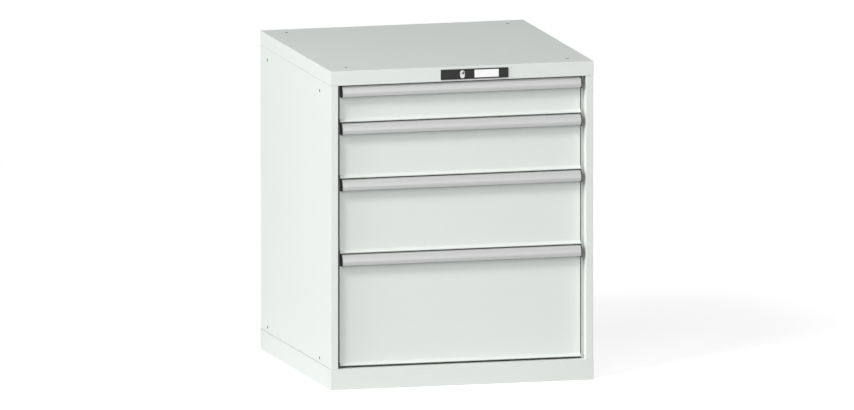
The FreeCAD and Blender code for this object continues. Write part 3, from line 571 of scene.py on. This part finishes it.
def housing_screws(work):
    """A screw with a pan head and a thread in place of each solid of the CAD node."""
    for low, high in loose_boxes(NODES["housing_screws"]):
        middle = (low + high) / 2
        place = towards((0, 1, 0), Vector((middle.x, high.y - SCREW_HEAD, middle.z)))
        under = pan_head(work, place, (high.x - low.x) / 2)
        loops = [under] + rings(work, place, thread_sizes(high.y - low.y - SCREW_HEAD))
        bands(work, loops)
        capped(work, loops[-1])


screws = built("cross_recess_screws", "housing", [MATERIALS["screw_steel"]], housing_screws)
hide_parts("housing_screws")


# Lock plug: metal is its first material and black, painted shade in the key slot and under the cut-out,
# its second
METAL = 0
SHADE_BLACK = 1
PLUG_POINTS = 64
PLUG_CHAMFER = 0.35 * MM
PLUG_FACE_THICK = 3.0 * MM
PLUG_CUP_LOW = 1.5 * PLUG_CHAMFER
PLUG_CUP_WALL = 0.25 * MM
PLUG_SKIN = 0.03 * MM
PLUG_CUT_TURN = math.radians(-18)
PLUG_CUT_HALF = math.radians(70)
KEY_HALF_WIDE = 0.9 * MM
KEY_HALF_TALL = 3.1 * MM
KEY_SHIFT = -0.6 * MM
KEY_DEPTH = 9.0 * MM


def key_outline():
    """An upright key slot with rounded ends."""
    upper = arch((KEY_SHIFT, KEY_HALF_TALL - KEY_HALF_WIDE), KEY_HALF_WIDE, KEY_HALF_WIDE)
    return upper + [(2 * KEY_SHIFT - x, -y) for x, y in upper]


def lock_plug(work):
    """The turning plug: a face with a key slot and a cut-out beside it, on a full round barrel; the slot
    and the cup under the cut-out are black, painted shade.
    """
    low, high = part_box("lock_plug")
    middle = (low + high) / 2
    radius = (high.x - low.x) / 2
    place = towards((0, -1, 0), Vector((middle.x, low.y, middle.z)))
    first = PLUG_CUT_TURN + PLUG_CUT_HALF
    last = PLUG_CUT_TURN - PLUG_CUT_HALF + math.tau
    face = circle(1.0, PLUG_POINTS, first, last)
    face_sizes = ((radius, -PLUG_FACE_THICK), (radius, -PLUG_CHAMFER), (radius - PLUG_CHAMFER, 0.0))
    loops = [ring(work, place, scaled(face, size), along) for size, along in face_sizes]
    bands(work, loops, METAL)
    mouth = ring(work, place, key_outline(), 0.0)
    bottom = ring(work, place, key_outline(), -KEY_DEPTH)
    holed(work, loops[-1], mouth, METAL)
    # the key slot's walls and floor are black: painted shade
    band(work, mouth, bottom, SHADE_BLACK)
    capped(work, bottom, SHADE_BLACK)
    # a black cup behind the cut-out: painted shade where a proud plug would cast its shadow
    shade_cup = rings(work, place, (
        (radius - PLUG_CUP_WALL, -PLUG_FACE_THICK),
        (radius - PLUG_CUP_WALL, -PLUG_CUP_LOW),
        (radius - PLUG_SKIN, -PLUG_CUP_LOW),
        (radius - PLUG_SKIN, -PLUG_FACE_THICK),
    ), PLUG_POINTS)
    barrel = rings(work, place, ((radius, -PLUG_FACE_THICK), (radius, low.y - high.y)), PLUG_POINTS)
    capped(work, shade_cup[0], SHADE_BLACK)
    bands(work, shade_cup, SHADE_BLACK)
    bands(work, [shade_cup[-1], *barrel], METAL)
    capped(work, barrel[-1], METAL)


plug_materials = [MATERIALS["lock_metal"], MATERIALS["lock_black"]]
plug = built("lock_plug_turned", "lock_plug", plug_materials, lock_plug)
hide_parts("lock_plug")


def seen_or_lit(tree, lit, plain, output):
    """Shows the plain colour to the camera and in reflections, and lights with the lit one."""
    path = add_node(tree, "ShaderNodeLightPath")
    seen = path.outputs["Is Camera Ray"]
    for other in ("Is Glossy Ray", "Is Transmission Ray"):
        either = add_node(tree, "ShaderNodeMath", operation="MAXIMUM")
        tree.links.new(seen, either.inputs[0])
        tree.links.new(path.outputs[other], either.inputs[1])
        seen = either.outputs[0]
    mix = add_node(tree, "ShaderNodeMixShader")
    tree.links.new(seen, mix.inputs[0])
    tree.links.new(lit, mix.inputs[1])
    tree.links.new(plain, mix.inputs[2])
    tree.links.new(mix.outputs[0], output)


def white_world():
    """Surroundings that look white and give a little light."""
    world = bpy.data.worlds.new("studio")
    bpy.context.scene.world = world
    world.use_nodes = True
    tree = world.node_tree
    lit = tree.nodes["Background"]
    lit.inputs["Color"].default_value = WHITE
    lit.inputs["Strength"].default_value = SKY_STRENGTH
    plain = add_node(tree, "ShaderNodeBackground", {"Color": WHITE, "Strength": 1.0})
    output = tree.nodes["World Output"].inputs["Surface"]
    seen_or_lit(tree, lit.outputs[0], plain.outputs[0], output)


def white_floor():
    """A pale round floor that looks white where no shadow falls."""
    bpy.ops.mesh.primitive_circle_add(vertices=FLOOR_CORNERS, radius=FLOOR_RADIUS, fill_type="NGON")
    floor = bpy.context.object
    floor.name = "floor"
    material, tree, surface = shader("floor_white", FLOOR_COLOUR, roughness=0.9, specular=0.0)
    glow = add_node(tree, "ShaderNodeEmission", {"Strength": FLOOR_GLOW})
    both = add_node(tree, "ShaderNodeAddShader")
    tree.links.new(surface.outputs[0], both.inputs[0])
    tree.links.new(glow.outputs[0], both.inputs[1])
    output = tree.nodes["Material Output"].inputs["Surface"]
    seen_or_lit(tree, surface.outputs[0], both.outputs[0], output)
    floor.data.materials.append(material)


def direction_back(azimuth, elevation):
    """From the cabinet towards a viewer at that azimuth and elevation."""
    turn, rise = math.radians(azimuth), math.radians(elevation)
    level = math.cos(rise)
    return Vector((math.sin(turn) * level, -math.cos(turn) * level, math.sin(rise)))


def soft_lamp(name, azimuth, elevation, power):
    """A large square area lamp that faces the cabinet's middle."""
    data = bpy.data.lights.new(name, "AREA")
    data.shape = "SQUARE"
    data.size = LAMP_SIZE
    data.energy = power
    lamp = bpy.data.objects.new(name, data)
    bpy.context.scene.collection.objects.link(lamp)
    back = direction_back(azimuth, elevation)
    lamp.location = CAMERA_TARGET + back * LAMP_DISTANCE
    lamp.rotation_euler = back.to_track_quat("Z", "Y").to_euler()


def photo_camera():
    """An orthographic camera that stands where the photograph was taken from."""
    data = bpy.data.cameras.new("camera")
    data.type = "ORTHO"
    data.ortho_scale = CAMERA_WIDTH
    data.clip_start = CAMERA_NEAR
    data.clip_end = CAMERA_FAR
    eye = bpy.data.objects.new("camera", data)
    bpy.context.scene.collection.objects.link(eye)
    back = direction_back(CAMERA_AZIMUTH, CAMERA_ELEVATION)
    turn = math.radians(CAMERA_AZIMUTH)
    right = Vector((math.cos(turn), math.sin(turn), 0.0))
    up = back.cross(right)
    eye.location = CAMERA_TARGET + back * CAMERA_DISTANCE + right * CAMERA_RIGHT + up * CAMERA_UP
    eye.rotation_euler = Matrix((right, up, back)).transposed().to_euler()
    bpy.context.scene.camera = eye


white_world()
white_floor()
for lamp_name, (azimuth, elevation, power) in LAMPS.items():
    soft_lamp(lamp_name, azimuth, elevation, power)
photo_camera()
bpy.context.scene.view_settings.view_transform = "Standard"
